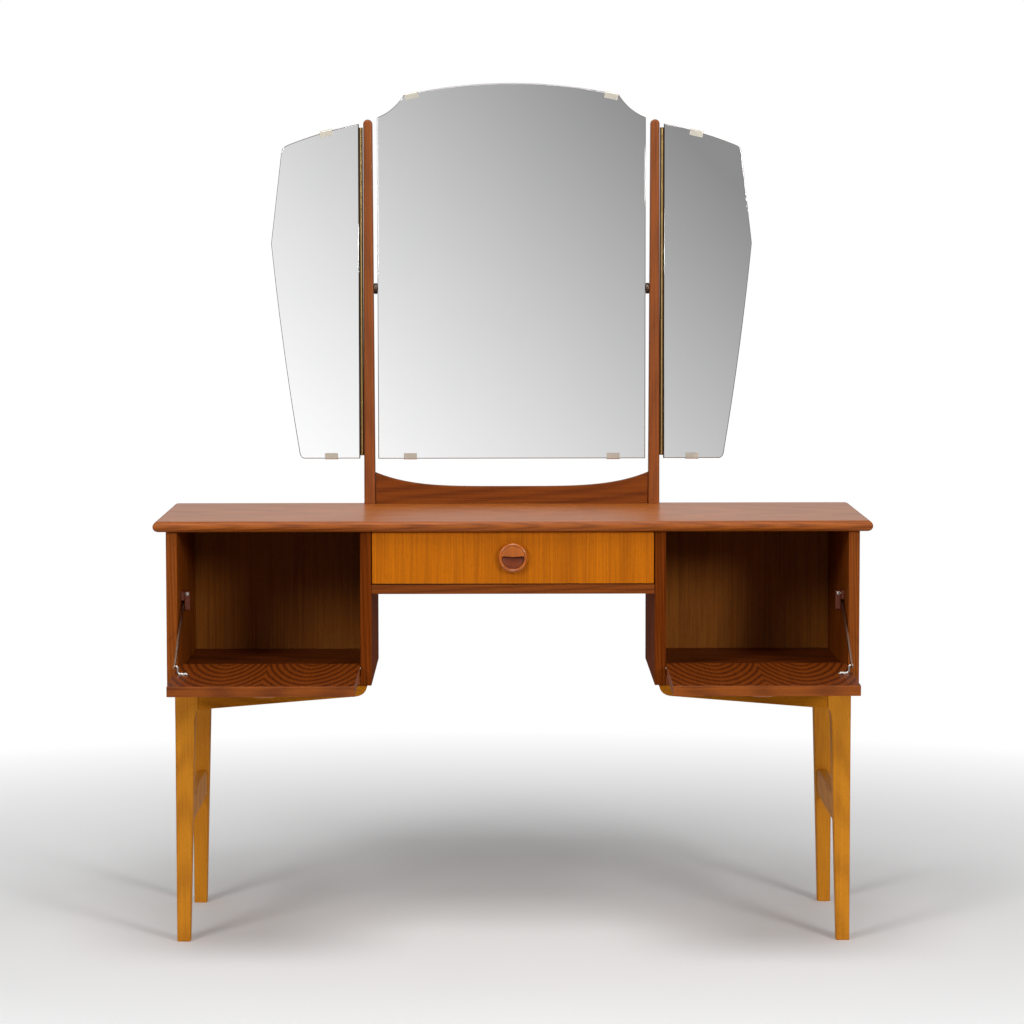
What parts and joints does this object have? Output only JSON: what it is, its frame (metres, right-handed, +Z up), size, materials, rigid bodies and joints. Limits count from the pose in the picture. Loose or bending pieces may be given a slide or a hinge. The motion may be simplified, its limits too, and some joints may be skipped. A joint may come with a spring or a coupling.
{
  "type": "dressing table with mirror",
  "caption": "Kneehole dressing table with a drawer over the kneehole, a drop-flap cabinet at each end and a tilting mirror between hinged wing mirrors.",
  "frame": {"origin": "on the floor, under the middle of the outline with both flaps let down", "axes": "+X to the sitter's right, +Y from the sitter to the mirror, +Z up"},
  "size_m": [1.2, 0.602, 1.4505],
  "materials": {
    "teak": "oiled teak, satin",
    "teak_top": "oiled teak with a soft sheen",
    "honey_teak": "honey-coloured teak veneer, satin",
    "inner_teak": "dark teak, matt",
    "beech": "lacquered beech, satin",
    "hardboard": "thin veneered board, matt",
    "drawer_wood": "plain beech, matt",
    "mirror": "silvered plate glass",
    "backing": "stained board, matt",
    "clip_metal": "champagne-coloured plating, satin",
    "bright_metal": "bright plated wire",
    "brass": "brushed brass strip",
    "dark_metal": "dark bronzed metal, satin",
    "brown_plastic": "brown moulded plastic, satin"
  },
  "bodies": {
    "carcass": {"tabletop": "teak_top", "left_outer_side": "teak", "right_outer_side": "teak", "left_inner_side": "teak", "right_inner_side": "teak", "left_cabinet_floor": "inner_teak", "right_cabinet_floor": "inner_teak", "left_cabinet_back": "hardboard", "right_cabinet_back": "hardboard", "drawer_rail": "teak", "drawer_bay_back": "inner_teak", "left_drawer_runner": "drawer_wood", "right_drawer_runner": "drawer_wood", "left_front_leg": "beech", "right_front_leg": "beech", "left_rear_leg": "beech", "right_rear_leg": "beech", "left_front_rail": "beech", "right_front_rail": "beech", "left_rear_rail": "beech", "right_rear_rail": "beech", "left_stretcher": "beech", "right_stretcher": "beech", "left_mirror_post": "teak", "right_mirror_post": "teak", "mirror_rail": "teak"},
    "drawer": {"drawer_front": "honey_teak", "drawer_left_side": "drawer_wood", "drawer_right_side": "drawer_wood", "drawer_back": "drawer_wood", "drawer_bottom": "drawer_wood", "drawer_knob": "teak"},
    "left_flap": {"left_flap_panel": "teak", "left_flap_knob": "teak", "left_stay_foot": "bright_metal"},
    "right_flap": {"right_flap_panel": "teak", "right_flap_knob": "teak", "right_stay_foot": "bright_metal"},
    "left_stay_rod": {"left_stay_rod": "bright_metal"},
    "right_stay_rod": {"right_stay_rod": "bright_metal"},
    "left_stay_guide": {"left_stay_guide": "brown_plastic"},
    "right_stay_guide": {"right_stay_guide": "brown_plastic"},
    "centre_mirror": {"centre_glass": "mirror", "centre_backboard": "backing", "centre_clip_top_left": "clip_metal", "centre_clip_top_right": "clip_metal", "centre_clip_bottom_left": "clip_metal", "centre_clip_bottom_right": "clip_metal", "left_tilt_pivot": "dark_metal", "right_tilt_pivot": "dark_metal"},
    "left_wing": {"left_wing_glass": "mirror", "left_wing_backboard": "backing", "left_wing_hinge": "brass", "left_wing_clip_top": "clip_metal", "left_wing_clip_bottom": "clip_metal"},
    "right_wing": {"right_wing_glass": "mirror", "right_wing_backboard": "backing", "right_wing_hinge": "brass", "right_wing_clip_top": "clip_metal", "right_wing_clip_bottom": "clip_metal"}
  },
  "joints": [
    {"name": "drawer_slide", "type": "slide", "parent": "carcass", "child": "drawer", "axis": [0, -1, 0], "range_m": [0, 0.28]},
    {"name": "left_flap_hinge", "type": "hinge", "parent": "carcass", "child": "left_flap", "pos_m": [-0.408, -0.07049, 0.46105], "axis": [-1, 0, 0], "range_deg": [0, 91.73]},
    {"name": "right_flap_hinge", "type": "hinge", "parent": "carcass", "child": "right_flap", "pos_m": [0.408, -0.07049, 0.46105], "axis": [-1, 0, 0], "range_deg": [0, 91.73]},
    {"name": "left_stay_rod_hinge", "type": "hinge", "parent": "left_flap", "child": "left_stay_rod", "pos_m": [-0.557, -0.1801, 0.47945], "axis": [-1, 0, 0], "range_deg": [-55, 1]},
    {"name": "right_stay_rod_hinge", "type": "hinge", "parent": "right_flap", "child": "right_stay_rod", "pos_m": [0.557, -0.1801, 0.47945], "axis": [-1, 0, 0], "range_deg": [-55, 1]},
    {"name": "left_stay_guide_hinge", "type": "hinge", "parent": "carcass", "child": "left_stay_guide", "pos_m": [-0.557, -0.00999, 0.568], "axis": [-1, 0, 0], "range_deg": [-1, 38.5]},
    {"name": "right_stay_guide_hinge", "type": "hinge", "parent": "carcass", "child": "right_stay_guide", "pos_m": [0.557, -0.00999, 0.568], "axis": [-1, 0, 0], "range_deg": [-1, 38.5]},
    {"name": "centre_mirror_tilt", "type": "hinge", "parent": "carcass", "child": "centre_mirror", "pos_m": [0, 0.28851, 1.091], "axis": [1, 0, 0], "range_deg": [-20, 20]},
    {"name": "left_wing_swing", "type": "hinge", "parent": "carcass", "child": "left_wing", "pos_m": [-0.2643, 0.27901, 1.085], "axis": [0, 0, 1], "range_deg": [-10, 95]},
    {"name": "right_wing_swing", "type": "hinge", "parent": "carcass", "child": "right_wing", "pos_m": [0.2643, 0.27901, 1.085], "axis": [0, 0, -1], "range_deg": [-10, 95]}
  ],
  "couplings": [
    {"joint": "left_stay_rod_hinge", "follows": "left_flap_hinge", "ratio": -0.59},
    {"joint": "left_stay_guide_hinge", "follows": "left_flap_hinge", "ratio": 0.41},
    {"joint": "right_stay_rod_hinge", "follows": "right_flap_hinge", "ratio": -0.59},
    {"joint": "right_stay_guide_hinge", "follows": "right_flap_hinge", "ratio": 0.41}
  ]
}
